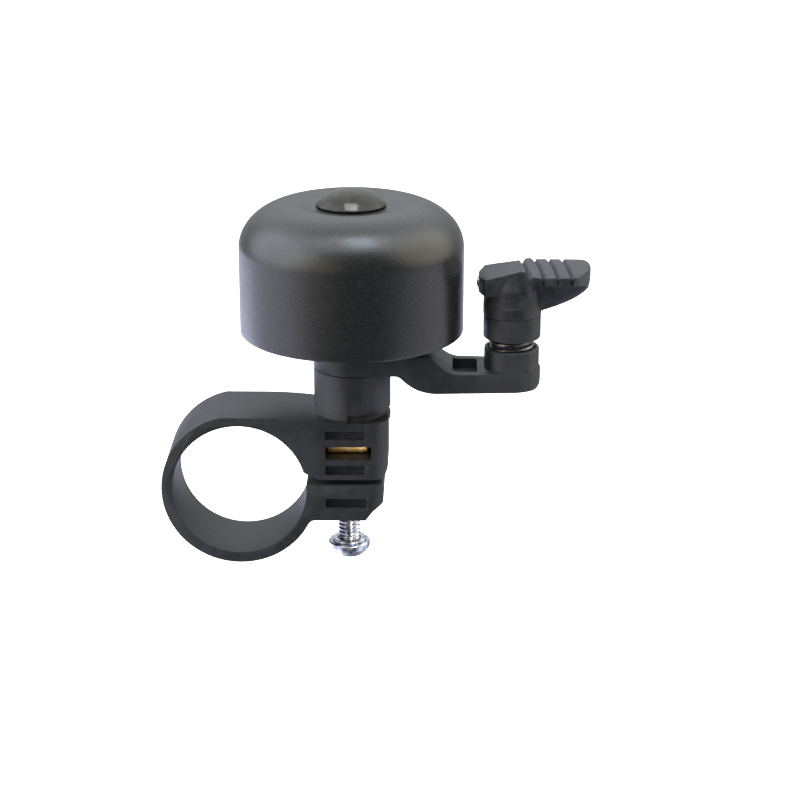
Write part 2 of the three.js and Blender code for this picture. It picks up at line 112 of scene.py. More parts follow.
def rounded(corners, steps=5):
    """A closed outline from (x, y, radius) corners, where a corner with no radius stays sharp."""
    made = []
    for i, corner in enumerate(corners):
        here = Vector(corner[:2])
        radius = corner[2] if len(corner) > 2 else 0
        back = Vector(corners[i - 1][:2]) - here
        ahead = Vector(corners[(i + 1) % len(corners)][:2]) - here
        half = back.angle(ahead) / 2
        reach = min(radius / math.tan(half), 0.49 * back.length, 0.49 * ahead.length)
        if reach < 1e-6:
            made.append(tuple(here))
            continue
        fit = reach * math.tan(half)
        centre = here + (back.normalized() + ahead.normalized()).normalized() * (fit / math.sin(half))
        first = here + back.normalized() * reach - centre
        last = here + ahead.normalized() * reach - centre
        start = math.atan2(first.y, first.x)
        turn = (math.atan2(last.y, last.x) - start + math.pi) % (2 * math.pi) - math.pi
        made += arc(centre, fit, math.degrees(start), math.degrees(start + turn), steps)
    return made


# Solids --------------------------------------------------------------------------------------------


def piece_from(name, vertices, faces):
    """A closed mesh object from points in millimetres."""
    mesh = bpy.data.meshes.new(name)
    mesh.from_pydata([Vector(v) * MM for v in vertices], [], faces)
    shape = bmesh.new()
    shape.from_mesh(mesh)
    bmesh.ops.remove_doubles(shape, verts=shape.verts, dist=SAME_POINT)
    bmesh.ops.recalc_face_normals(shape, faces=shape.faces)
    shape.to_mesh(mesh)
    shape.free()
    piece = bpy.data.objects.new(name, mesh)
    SCENE.collection.objects.link(piece)
    return piece


def tube_faces(around, rows):
    """The faces that join rows of points into a closed tube, with a cap at each end."""
    faces = [
        (j * around + i, j * around + (i + 1) % around,
         (j + 1) * around + (i + 1) % around, (j + 1) * around + i)
        for j in range(rows - 1) for i in range(around)]
    return faces + [tuple(range(around)), tuple(range((rows - 1) * around, rows * around))]


def turned(name, section, x, z, segments=LATHE_SEGMENTS, sweep=(0, 360)):
    """A body about an upright axis, from a closed section of (radius, height) points."""
    whole = sweep[1] - sweep[0] == 360
    columns = segments if whole else segments + 1
    vertices = []
    for i in range(columns):
        angle = math.radians(sweep[0] + (sweep[1] - sweep[0]) * i / segments)
        vertices += [(x + r * math.cos(angle), r * math.sin(angle), z + h) for r, h in section]
    rows = len(section)
    faces = []
    for i in range(segments):
        this, after = i * rows, (i + 1) % columns * rows
        for j in range(rows):
            k = (j + 1) % rows
            if section[j][0] or section[k][0]:
                faces.append((this + j, after + j, after + k, this + k))
    if not whole:
        faces += [tuple(range(rows)), tuple(range(segments * rows, columns * rows))]
    return piece_from(name, vertices, faces)


def extruded(name, outline, low, high, view="side"):
    """A prism: a side view in X and Z pulled along Y, or a plan view in X and Y pulled along Z."""
    count = len(outline)
    if view == "side":
        vertices = [(x, y, z) for y in (low, high) for x, z in outline]
    else:
        vertices = [(x, y, z) for z in (low, high) for x, y in outline]
    faces = [tuple(range(count)), tuple(range(count, 2 * count))]
    faces += [(i, (i + 1) % count, count + (i + 1) % count, count + i) for i in range(count)]
    return piece_from(name, vertices, faces)


def rectangle(left, bottom, right, top, radius):
    """A rectangle with round corners."""
    corners = [(left, bottom, radius), (right, bottom, radius), (right, top, radius), (left, top, radius)]
    return rounded(corners, 3)


def applied(piece):
    """Turns the piece's modifiers into its mesh."""
    graph = bpy.context.evaluated_depsgraph_get()
    mesh = bpy.data.meshes.new_from_object(piece.evaluated_get(graph))
    piece.modifiers.clear()
    piece.data = mesh
    return piece


def combined(piece, others, operation):
    """Cuts, joins or intersects the piece with others, which are used up, and cleans its seams."""
    for other in others:
        boolean = piece.modifiers.new("boolean", "BOOLEAN")
        boolean.operation = operation
        boolean.object = other
        boolean.solver = "EXACT"
        applied(piece)
        bpy.data.objects.remove(other)
    shape = bmesh.new()
    shape.from_mesh(piece.data)
    bmesh.ops.remove_doubles(shape, verts=shape.verts, dist=SEAM)
    bmesh.ops.dissolve_degenerate(shape, edges=shape.edges, dist=SEAM)
    bmesh.ops.dissolve_limit(shape, angle_limit=FLAT_ANGLE, verts=shape.verts, edges=shape.edges)
    shape.to_mesh(piece.data)
    shape.free()
    return piece


def cut(piece, *cutters):
    """Takes the cutters out of the piece."""
    return combined(piece, cutters, "DIFFERENCE")


def fused(piece, *others):
    """Joins the others to the piece."""
    return combined(piece, others, "UNION")


def eased(piece, width, angle=32):
    """Rounds every edge that turns by more than the angle."""
    bevel = piece.modifiers.new("bevel", "BEVEL")
    bevel.width = width * MM
    bevel.segments = 2
    bevel.limit_method = "ANGLE"
    bevel.angle_limit = math.radians(angle)
    bevel.miter_outer = "MITER_ARC"
    bevel.use_clamp_overlap = True
    return applied(piece)


def finished(piece, node, sharp=40):
    """Shades the piece, gives it its finish and lets it stand for its CAD node."""
    piece.data.shade_smooth()
    piece.data.set_sharp_from_angle(angle=math.radians(sharp))
    piece.data.materials.clear()
    piece.data.materials.append(FINISH[SLOT_OF[node]])
    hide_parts(node)
    PIECES[node] = piece
    return piece


def placed(piece, node, sharp=40):
    """Finishes the piece and lets it move with its node's body."""
    finished(piece, node, sharp)
    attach(piece, BODY_OF[node])
    return piece


# Finishes ------------------------------------------------------------------------------------------


def add_node(material, kind, inputs=None, output=0, **settings):
    """Adds a shader node, with a value or a link for each input, and returns one of its outputs."""
    made = material.node_tree.nodes.new("ShaderNode" + kind)
    for key, value in settings.items():
        setattr(made, key, value)
    for key, value in (inputs or {}).items():
        if isinstance(value, bpy.types.NodeSocket):
            material.node_tree.links.new(value, made.inputs[key])
        else:
            made.inputs[key].default_value = value
    return made.outputs[output]


def shader_of(material):
    """The material's surface shader."""
    return material.node_tree.nodes["Principled BSDF"]


def new_material(name, values):
    """A material whose shader has these plain values."""
    material = bpy.data.materials.new(name)
    material.use_nodes = True
    for key, value in values.items():
        shader_of(material).inputs[key].default_value = value
    return material


def feed(material, socket, output):
    """Links an output to one of the shader's inputs."""
    material.node_tree.links.new(output, shader_of(material).inputs[socket])


def place_in_mm(material, stretch):
    """The surface point in millimetres in the object's own frame, stretched along its axes."""
    here = add_node(material, "TexCoord", output=3)
    scale = [1 / MM * s for s in stretch]
    return add_node(material, "VectorMath", {0: here, 1: scale}, operation="MULTIPLY")


def noise(material, grain, detail=3.0, stretch=(1, 1, 1)):
    """Noise whose features are about grain millimetres across, and longer where stretch is below one."""
    return add_node(material, "TexNoise", {
        "Vector": place_in_mm(material, stretch), "Scale": 1 / grain, "Detail": detail, "Roughness": 0.55})


def ranged(material, value, low, high, to_low, to_high):
    """The value carried over, within bounds, from one range to another."""
    return add_node(material, "MapRange", {
        "Value": value, "From Min": low, "From Max": high, "To Min": to_low, "To Max": to_high})


def ramp(material, value, stops):
    """A colour for the value, from (position, colour) stops."""
    made = material.node_tree.nodes.new("ShaderNodeValToRGB")
    material.node_tree.links.new(value, made.inputs[0])
    elements = made.color_ramp.elements
    while len(elements) < len(stops):
        elements.new(0.5)
    for element, (position, colour) in zip(elements, stops):
        element.position = position
        element.color = (*colour, 1)
    return made.outputs[0]


def sum_of(material, first, second, share):
    """The first value plus a share of the second."""
    scaled = add_node(material, "Math", {0: second, 1: share}, operation="MULTIPLY")
    return add_node(material, "Math", {0: first, 1: scaled}, operation="ADD")


def raised(material, height, depth):
    """Bump whose full height is depth millimetres."""
    feed(material, "Normal", add_node(material, "Bump", {
        "Height": height, "Distance": depth * MM, "Strength": 1.0}))


def satin_paint():
    """Satin black paint with a fine sparkle and a slight orange peel."""
    material = new_material("dome_paint", {"IOR": 1.5})
    speck = noise(material, 0.16, detail=2.0)
    cloud = noise(material, 3.5, detail=2.0)
    colour = ramp(material, speck, [
        (0.38, (0.005, 0.005, 0.005)), (0.55, (0.009, 0.009, 0.0085)), (0.7, (0.035, 0.034, 0.03))])
    feed(material, "Base Color", colour)
    wave = sum_of(material, cloud, speck, 0.5)
    feed(material, "Roughness", ranged(material, wave, 0.5, 1.0, 0.24, 0.32))
    raised(material, sum_of(material, noise(material, 0.45, detail=1.0), speck, 0.4), 0.009)
    return material


def moulded_nylon(name, dark, light, roughness, streak):
    """Moulded plastic with flow marks, drawn out along the axes where streak is small, and a fine grain."""
    material = new_material(name, {"IOR": 1.41})
    flow = noise(material, 1.3, detail=4.0, stretch=streak)
    mottle = noise(material, 1.8, detail=4.0)
    grain = noise(material, 0.13, detail=2.0)
    tone = sum_of(material, flow, mottle, 0.5)
    feed(material, "Base Color", ramp(material, ranged(material, tone, 0.5, 1.0, 0.0, 1.0), [
        (0.2, dark), (0.8, light)]))
    feed(material, "Roughness", ranged(material, tone, 0.5, 1.0, roughness - 0.08, roughness + 0.08))
    raised(material, sum_of(material, flow, grain, 0.35), 0.03)
    return material


def gloss_black():
    """Polished black plastic with faint smears."""
    material = new_material("gloss_black", {"IOR": 1.28})
    smear = noise(material, 1.6, detail=4.0)
    speck = noise(material, 0.2, detail=1.0)
    feed(material, "Base Color", ramp(material, smear, [
        (0.35, (0.012, 0.0115, 0.010)), (0.7, (0.026, 0.024, 0.019))]))
    feed(material, "Roughness", ranged(material, smear, 0.3, 0.7, 0.07, 0.14))
    raised(material, speck, 0.002)
    return material


def soft_rubber():
    """Matte rubber with a pale uneven bloom."""
    material = new_material("rubber", {"IOR": 1.5})
    bloom = noise(material, 0.8, detail=5.0)
    feed(material, "Base Color", ramp(material, bloom, [
        (0.35, (0.014, 0.014, 0.014)), (0.7, (0.04, 0.038, 0.036))]))
    feed(material, "Roughness", ranged(material, bloom, 0.3, 0.7, 0.75, 0.95))
    raised(material, noise(material, 0.12), 0.02)
    return material


def plain_metal(name, dark, light, roughness, stretch, depth=0.006):
    """Metal with fine tool marks along one direction and a thin uneven tarnish."""
    material = new_material(name, {"Metallic": 1.0})
    marks = noise(material, 0.22, detail=3.0, stretch=stretch)
    tarnish = noise(material, 1.1, detail=4.0)
    feed(material, "Base Color", ramp(material, tarnish, [(0.35, dark), (0.65, light)]))
    wave = sum_of(material, tarnish, marks, 0.7)
    feed(material, "Roughness", ranged(material, wave, 0.5, 1.1, roughness[0], roughness[1]))
    raised(material, marks, depth)
    return material


ROUND_THE_BAND = (0.05, 1.5, 0.05)
EVERY_WAY = (0.6, 0.6, 0.6)

FINISH = {
    "nylon": moulded_nylon("nylon", (0.011, 0.012, 0.0135), (0.030, 0.030, 0.034), 0.48, ROUND_THE_BAND),
    "lever_nylon": moulded_nylon(
        "lever_nylon", (0.016, 0.016, 0.018), (0.034, 0.034, 0.040), 0.46, EVERY_WAY),
    "dome_paint": satin_paint(),
    "gloss_black": gloss_black(),
    "rubber": soft_rubber(),
    "brass": plain_metal(
        "brass", (0.66, 0.38, 0.12), (0.90, 0.60, 0.26), (0.26, 0.40), (0.12, 1, 3), 0.002),
    "zinc": plain_metal("zinc", (0.20, 0.22, 0.28), (0.66, 0.68, 0.72), (0.14, 0.30), (1, 1, 3), 0.003),
    "steel": plain_metal("steel", (0.36, 0.36, 0.37), (0.56, 0.56, 0.56), (0.25, 0.42), (1, 1, 4)),
    "spring_steel": plain_metal(
        "spring_steel", (0.05, 0.05, 0.048), (0.20, 0.19, 0.17), (0.22, 0.36), (1, 1, 2)),
}

# Handlebar clamp -----------------------------------------------------------------------------------

BAND_THICKNESS = 1.8
BAND_START, BAND_END = -27.5, -256.8
UPPER_LIP = 16.4
GAP_TOP, GAP_BOTTOM = 1.9, 0.9
EAR_BOTTOM = -5.4
EAR_INSET = 0.75
BAND_TOP = 12.75
BLOCK_REACH, BLOCK_TOP = 6.1, 11.9
BLOCK_CORNER = 3.0
# Openings in the block's front face: left, bottom, right, top.
SLOTS = ((14.5, 9.0, 21.1, 10.5), (14.5, 2.7, 21.1, 4.4), (14.5, -3.2, 21.4, -1.5))
SLOT_DEPTH = 1.2
NUT_ROOM = (14.4, 5.35, 22.2, 7.75)
NUT_ROOM_END = 3.65
POST_SHOULDER, POST_FOOT = -6.45, -15.3
SPIGOT_RADIUS = 4.0
# The groove round the post's outer side, above the block: radius, bottom, top.
RELIEF = (5.85, -14.3, -13.1)
RELIEF_HALF_TURN = 95
INSERT_HOLE = 2.95
SCREW_HOLE, SCREW_HOLE_TOP = 2.15, 13.8
FLANGE_HOLE, FERRULE_HOLE = 3.15, 2.65
FLANGE_SUNK = 0.3
NUT_BORE = 1.91


def clamp_side(bore, outer):
    """The split band, the block over the gap and the ear under it, seen from the side."""
    block_right = BELL_X + BLOCK_REACH
    ear_right = block_right - EAR_INSET
    lower_lip = 360 + math.degrees(math.asin(GAP_BOTTOM / bore))
    side = arc((0, 0), bore, UPPER_LIP, lower_lip, 144)
    side += rounded([
        (bore + 1, GAP_BOTTOM, 0), (ear_right, GAP_BOTTOM, 0.25), (ear_right, EAR_BOTTOM + 3.0, 0.5),
        (ear_right - 1.8, EAR_BOTTOM + 1.6, 0.5), (ear_right - 3.0, EAR_BOTTOM, 0.2),
        (12.5, EAR_BOTTOM, 1.2), (11.9, EAR_BOTTOM - 0.3, 0),
    ], 3)
    side += arc((0, 0), outer, BAND_START, BAND_END, 132)
    side += [(4, BAND_TOP)]
    side += bezier([(4, BAND_TOP), (8.5, BAND_TOP), (12.5, BLOCK_TOP + 0.3)], 8)
    side += rounded([
        (13, BLOCK_TOP + 0.28, 0), (block_right, BLOCK_TOP, 0), (block_right, GAP_TOP + 1.6, 0.8),
        (block_right - 0.6, GAP_TOP, 0.15), (13.2, GAP_TOP, 0.3), (12.9, GAP_TOP + 0.15, 0),
    ], 3)
    return side


def block_corner(way, half):
    """What is cut off to round the block's outer corner on one side."""
    middle = BELL_X + BLOCK_REACH - BLOCK_CORNER
    right = BELL_X + BLOCK_REACH + 2
    inner, outer = way * (half - BLOCK_CORNER), way * (half + 2)
    corner = arc((middle, inner), BLOCK_CORNER, way * 90, 0, 12)
    corner += [(right, inner), (right, outer), (middle, outer)]
    return extruded("corner", corner, -20, 20, "plan")


def drilled(name, radius, x, bottom, top, segments):
    """An upright round cutter."""
    return turned(name, [(0, bottom), (radius, bottom), (radius, top), (0, top)], x, 0, segments)


def clamp_bracket():
    """The band, its split block and the bell's post, in one moulding."""
    low, high = box_of("clamp_bracket")
    half = high.y
    outer = -low.x
    post_radius = high.x - BELL_X
    bracket = extruded("clamp_bracket", clamp_side(outer - BAND_THICKNESS, outer), -half, half)
    for way in (-1, 1):
        cut(bracket, block_corner(way, half))

    cutters = [
        extruded("slot", rectangle(*slot, 0.25), -half - 1, SLOT_DEPTH - half) for slot in SLOTS]
    cutters.append(extruded("nut_room", rectangle(*NUT_ROOM, 0.12), -half - 1, NUT_ROOM_END))
    post = turned("post", rounded([
        (0, POST_FOOT), (post_radius, POST_FOOT), (post_radius, POST_SHOULDER, 0.25),
        (SPIGOT_RADIUS, POST_SHOULDER), (SPIGOT_RADIUS, high.z - RIM_Z, 0.2), (0, high.z - RIM_Z),
    ]), BELL_X, RIM_Z, 96)
    groove, bottom, top = RELIEF
    relief = turned("relief", rounded([
        (groove, bottom, 0), (post_radius + 1, bottom), (post_radius + 1, top), (groove, top, 0.3),
    ]), BELL_X, RIM_Z, 48, (-RELIEF_HALF_TURN, RELIEF_HALF_TURN))
    insert_bottom = box_of("post_insert")[0].z
    insert_hole = drilled("insert_hole", INSERT_HOLE, BELL_X, insert_bottom - 0.1, high.z + 1, 64)
    fused(bracket, post)
    screw_hole = drilled("screw_hole", SCREW_HOLE, SCREW_X, 0, SCREW_HOLE_TOP, 48)
    ferrule_hole = turned("ferrule_hole", [
        (0, EAR_BOTTOM - 1), (FLANGE_HOLE, EAR_BOTTOM - 1), (FLANGE_HOLE, EAR_BOTTOM + FLANGE_SUNK),
        (FERRULE_HOLE, EAR_BOTTOM + FLANGE_SUNK), (FERRULE_HOLE, GAP_BOTTOM + 0.2), (0, GAP_BOTTOM + 0.2),
    ], SCREW_X, 0, 48)
    cut(bracket, relief, insert_hole, screw_hole, ferrule_hole, *cutters)
    return placed(eased(bracket, 0.2), "clamp_bracket")


def clamp_nut():
    """A square nut that slides into the block from the front."""
    low, high = box_of("clamp_nut")
    half = (high.x - low.x) / 2
    outline = [(SCREW_X + x, y) for x, y in rectangle(-half, -half, half, half, 0.35)]
    nut = extruded("clamp_nut", outline, low.z, high.z, "plan")
    bore = drilled("bore", NUT_BORE, SCREW_X, low.z - 1, high.z + 1, 48)
    return placed(eased(cut(nut, bore), 0.15), "clamp_nut")


def ear_ferrule():
    """A flanged bush that guides the screw through the ear."""
    low, high = box_of("ear_ferrule")
    flange = (high.x - low.x) / 2
    tall = high.z - low.z
    bore, barrel, thick = 2.1, 2.6, 0.25
    section = rounded([
        (bore, 0, 0.12), (flange, 0, 0.1), (flange, thick, 0.08), (barrel, thick, 0.05),
        (barrel, tall, 0.15), (bore, tall, 0.1),
    ], 3)
    return placed(turned("ear_ferrule", section, SCREW_X, low.z, 96), "ear_ferrule")


SCREW_THREAD = 1.85
SCREW_PITCH = 0.7
THREAD_DEPTH = 0.32
HEAD_HEIGHT = 2.85
HEAD_CROSS = (3.8, 0.8, 1.3)


def threaded(name, radius, x, bottom, top, pitch=SCREW_PITCH, depth=THREAD_DEPTH):
    """A threaded rod whose surface rises and falls along a helix, with a plain run-in at each end."""
    segments, rows_per_turn = 48, 12
    rows = round((top - bottom) / pitch * rows_per_turn)
    vertices = []
    for j in range(rows + 1):
        height = bottom + (top - bottom) * j / rows
        fade = min(1, (height - bottom) / pitch, (top - height) / pitch)
        for i in range(segments):
            turn = i / segments
            phase = (height / pitch - turn) % 1
            # The crest is 1, the root is 0, and both are a sixth of a pitch wide.
            crest = min(1, max(0, abs(2 * phase - 1) * 1.5 - 0.25))
            r = radius - depth * fade * (1 - crest) - (1 - fade) * depth * 0.5
            vertices.append((x + r * math.cos(2 * math.pi * turn), r * math.sin(2 * math.pi * turn), height))
    return piece_from(name, vertices, tube_faces(segments, rows + 1))


def cross(x, bottom, length, width, depth):
    """The two crossed bars of a driver recess, sunk upwards from a head's underside."""
    bars = []
    for across, along in ((length / 2, width / 2), (width / 2, length / 2)):
        outline = rectangle(x - across, -along, x + across, along, 0.12)
        bars.append(extruded("bar", outline, bottom - 1, bottom + depth, "plan"))
    return bars


def clamp_screw():
    """The screw that closes the clamp, with its round head and cross recess underneath."""
    low, high = box_of("clamp_screw")
    head_radius = (high.x - low.x) / 2
    section = rounded([
        (0, 0), (1.4, 0, 0.6), (2.6, 0.5, 1.2), (head_radius, 1.75, 0.6), (head_radius, HEAD_HEIGHT, 0.3),
        (SCREW_THREAD - 0.1, HEAD_HEIGHT), (SCREW_THREAD - 0.1, HEAD_HEIGHT + 0.2), (0, HEAD_HEIGHT + 0.2),
    ], 6)
    head = turned("clamp_screw", section, SCREW_X, low.z, 96)
    cut(head, *cross(SCREW_X, low.z, *HEAD_CROSS))
    shank = threaded("shank", SCREW_THREAD, SCREW_X, low.z + HEAD_HEIGHT - 0.1, high.z)
    return placed(fused(eased(head, 0.06), shank), "clamp_screw", 50)


def ring_washer(node, bore, x):
    """A stamped washer, whose upper outer edge is rounder than its lower one."""
    low, high = box_of(node)
    radius = (high.x - low.x) / 2
    thick = high.z - low.z
    section = rounded([
        (bore, 0, 0.3 * thick), (radius, 0, 0.15 * thick),
        (radius, thick, 0.4 * thick), (bore, thick, 0.2 * thick),
    ], 4)
    return placed(turned(node, section, x, low.z), node)


def screw_washer():
    """The captive washer between the clamp screw's head and the ear."""
    return ring_washer("screw_washer", SCREW_THREAD + 0.1, SCREW_X)


# Bell stack ----------------------------------------------------------------------------------------

CROWN = DOME_HIGH.z - RIM_Z
DOME_WALL = 1.2
RIM_EASE = 0.35
SHOULDER_Z, SHOULDER_WIDTH = 14.3, 9.2
SHOULDER_STEPS, DISH_STEPS = 36, 16
SEAT_RADIUS, SEAT_SLOPE, SEAT_DEPTH = 6.0, 0.9, 0.5
SEAT_LIP = 0.02
DOME_HOLE = 2.3


def dome_shoulder(offset):
    """The quarter ellipse from the wall up to the crown, moved inwards by the offset."""
    width, height = SHOULDER_WIDTH - offset, CROWN - SHOULDER_Z - offset
    angles = [math.radians(i * 90 / SHOULDER_STEPS) for i in range(SHOULDER_STEPS + 1)]
    left = DOME_RADIUS - SHOULDER_WIDTH
    return [(left + width * math.cos(a), SHOULDER_Z + height * math.sin(a)) for a in angles]


def crown_dish():
    """The crown's shallow fall from the shoulder to the cap's seat."""
    lip = DOME_RADIUS - SHOULDER_WIDTH
    dish = []
    for i in range(1, DISH_STEPS + 1):
        along = i / DISH_STEPS
        fall = along * along * (3 - 2 * along)
        dish.append((lip + (SEAT_RADIUS - lip) * along, CROWN - (SEAT_DEPTH - SEAT_LIP) * fall))
    return dish


def bell_dome():
    """A thin turned dome, with a seat for the cap and a hole in its crown."""
    inside = DOME_RADIUS - DOME_WALL
    seat = CROWN - SEAT_DEPTH
    rim = rounded([(inside, 1.5), (inside, 0, RIM_EASE), (DOME_RADIUS, 0, RIM_EASE), (DOME_RADIUS, 1.5)], 6)
    seat_section = rounded([
        (SEAT_RADIUS - 0.05, seat + SEAT_LIP), (SEAT_RADIUS - 0.1, seat, 0.02), (DOME_HOLE, seat, 0.1),
        (DOME_HOLE, seat - DOME_WALL, 0.1), (SEAT_RADIUS, seat - DOME_WALL, 0.6),
        (SEAT_RADIUS + SEAT_SLOPE, CROWN - DOME_WALL, 0.3), (SEAT_RADIUS + SEAT_SLOPE + 1, CROWN - DOME_WALL),
    ], 6)
    section = rim + dome_shoulder(0) + crown_dish() + seat_section + dome_shoulder(DOME_WALL)[::-1]
    return placed(turned("bell_dome", section, BELL_X, RIM_Z, 192), "bell_dome")


CAP_RIM = 0.36
CAP_ROOM = (3.0, 1.5)


def ball_top(radius, height, rise, steps):
    """The section of a domed end, from its edge up to its middle."""
    ball = (radius ** 2 + rise ** 2) / (2 * rise)
    top = arc((0, height - ball), ball, math.degrees(math.acos(radius / ball)), 90, steps)
    top[-1] = (0, height)
    return top


def screw_cap():
    """A turned cap: a ball-shaped top over a straight rim, its foot sunk in the dome's seat."""
    low, high = box_of("screw_cap")
    radius = (high.x - low.x) / 2
    height = high.z - low.z
    top = ball_top(radius, height, height - CAP_RIM, 30)
    room, roof = CAP_ROOM
    section = [(0, roof), (room, roof), (room, 0), (radius - 0.35, 0), (radius - 0.1, 0.1), (radius, 0.24)]
    section += [(radius, CAP_RIM - 0.06), (radius - 0.03, CAP_RIM)] + top[1:]
    return placed(turned("screw_cap", section, BELL_X, low.z, 160), "screw_cap", 35)


DOME_SCREW_THREAD = 1.95
DOME_SCREW_HEAD = 0.95
DOME_SCREW_HOLE = 2.05
STACK_HOLE = 2.2
SPIGOT_HOLE = 4.1


def dome_screw():
    """The screw through the crown, whose pan head stands in the cap's room."""
    low, high = box_of("dome_screw")
    neck = high.z - low.z - DOME_SCREW_HEAD
    section = rounded([
        (0, 0), (1.85, 0), (1.85, neck), (2.75, neck, 0.1), (2.75, neck + 0.5, 0.3),
        (2.3, neck + DOME_SCREW_HEAD, 0.3), (0, neck + DOME_SCREW_HEAD),
    ], 4)
    above_neck = [(r, h) for r, h in section if h >= neck] + [(0, neck)]
    head = turned("dome_screw", above_neck, BELL_X, low.z, 96)
    shank = threaded("shank", DOME_SCREW_THREAD, BELL_X, low.z, low.z + neck + 0.1)
    return placed(fused(head, shank), "dome_screw", 50)


def dome_washer():
    """The washer under the dome screw's head."""
    return ring_washer("dome_washer", DOME_SCREW_HOLE, BELL_X)


def dome_cushion():
    """The soft washer under the crown, bulging at its edge."""
    low, high = box_of("dome_cushion")
    radius = (high.x - low.x) / 2
    thick = high.z - low.z
    section = rounded([
        (STACK_HOLE, 0, 0.2), (radius - 0.1, 0, 0.4), (radius, thick / 2, 0.5),
        (radius - 0.1, thick, 0.4), (STACK_HOLE, thick, 0.2),
    ], 5)
    return placed(turned("dome_cushion", section, BELL_X, low.z), "dome_cushion")


def spacer_sleeve():
    """The tube that holds the dome above the arm, with three grooves round it."""
    low, high = box_of("spacer_sleeve")
    radius = (high.x - low.x) / 2
    tall = high.z - low.z
    floor = radius - 0.35
    grooves = []
    for i in range(3):
        base = tall * (0.25 + 0.25 * i)
        grooves += [(radius, base - 0.3, 0.1), (floor, base - 0.1, 0.1)]
        grooves += [(floor, base + 0.1, 0.1), (radius, base + 0.3, 0.1)]
    section = rounded([
        (STACK_HOLE, 0, 0.2), (radius, 0, 0.35), *grooves,
        (radius, tall, 0.35), (STACK_HOLE, tall, 0.2),
    ], 4)
    return placed(turned("spacer_sleeve", section, BELL_X, low.z), "spacer_sleeve")


def post_insert():
    """The brass thread insert in the post, with four V grooves round it."""
    low, high = box_of("post_insert")
    radius = (high.x - low.x) / 2
    tall = high.z - low.z
    grooves = []
    for i in range(4):
        base = 1.0 + i * (tall - 2) / 3
        grooves += [(radius, base - 0.25), (radius - 0.2, base, 0.05), (radius, base + 0.25)]
    section = rounded([
        (DOME_SCREW_HOLE, 0, 0.15), (radius, 0, 0.2), *grooves,
        (radius, tall, 0.2), (DOME_SCREW_HOLE, tall, 0.15),
    ], 3)
    return placed(turned("post_insert", section, BELL_X, low.z, 96), "post_insert")


def friction_washer():
    """The thin washer that the arm turns on."""
    return ring_washer("friction_washer", SPIGOT_HOLE, BELL_X)


# Swivelling arm ------------------------------------------------------------------------------------

COLLAR_BOTTOM, COLLAR_TOP = -6.35, -3.05
BAR_BOTTOM, BAR_TOP = -9.5, -6.25
BAR_END = 4.85
BOSS_TOP, BOSS_FLOOR = -2.7, -6.1
SPRING_ROOM = 3.92
POCKET_START, POCKET_END, POCKET_HALF, POCKET_DEPTH = 16.8, 20.9, 3.7, 1.6
HEAD_ROOM, HEAD_ROOM_DEPTH = 2.9, 1.3
SPRING_SCREW_HOLE = 1.6
SPRING_SCREW_THREAD, SPRING_SCREW_HEAD = 1.5, 2.8
SPRING_SCREW_PITCH, SPRING_SCREW_CUT = 0.5, 0.22
SPRING_SCREW_CROSS = (3.2, 0.6, 0.6)


def arm_side(collar, end):
    """The arm's S shape from the side: a collar under the dome, a bend down and a bar."""
    side = [(-collar - 1, COLLAR_BOTTOM), (7.2, COLLAR_BOTTOM)]
    side += bezier([(7.2, COLLAR_BOTTOM), (7.9, COLLAR_BOTTOM), (8.5, -7.0)], 6)
    side += bezier([(8.5, -7.0), (10.9, BAR_BOTTOM), (14.5, BAR_BOTTOM)], 14)
    side += [(end - 1.3, BAR_BOTTOM)]
    side += bezier([(end - 1.3, BAR_BOTTOM), (end - 0.1, BAR_BOTTOM), (end, BAR_BOTTOM + 1.3)], 6)
    side += [(end, BAR_TOP), (18.0, BAR_TOP)]
    side += bezier([(18.0, BAR_TOP), (16.2, BAR_TOP), (14.4, -4.5)], 12)
    side += bezier([(14.4, -4.5), (13.2, COLLAR_TOP), (11.0, COLLAR_TOP)], 10)
    side += [(-collar - 1, COLLAR_TOP)]
    return [(BELL_X + x, RIM_Z + z) for x, z in side]


def arm_plan(collar, reach):
    """The arm from above: the collar and the bar's round end, joined by straight sides."""
    lean = math.degrees(math.asin((collar - BAR_END) / reach))
    plan = arc((BELL_X, 0), collar, 90 - lean, 270 + lean, 72)
    return plan + arc((HUB_X, 0), BAR_END, -90 + lean, 90 - lean, 48)


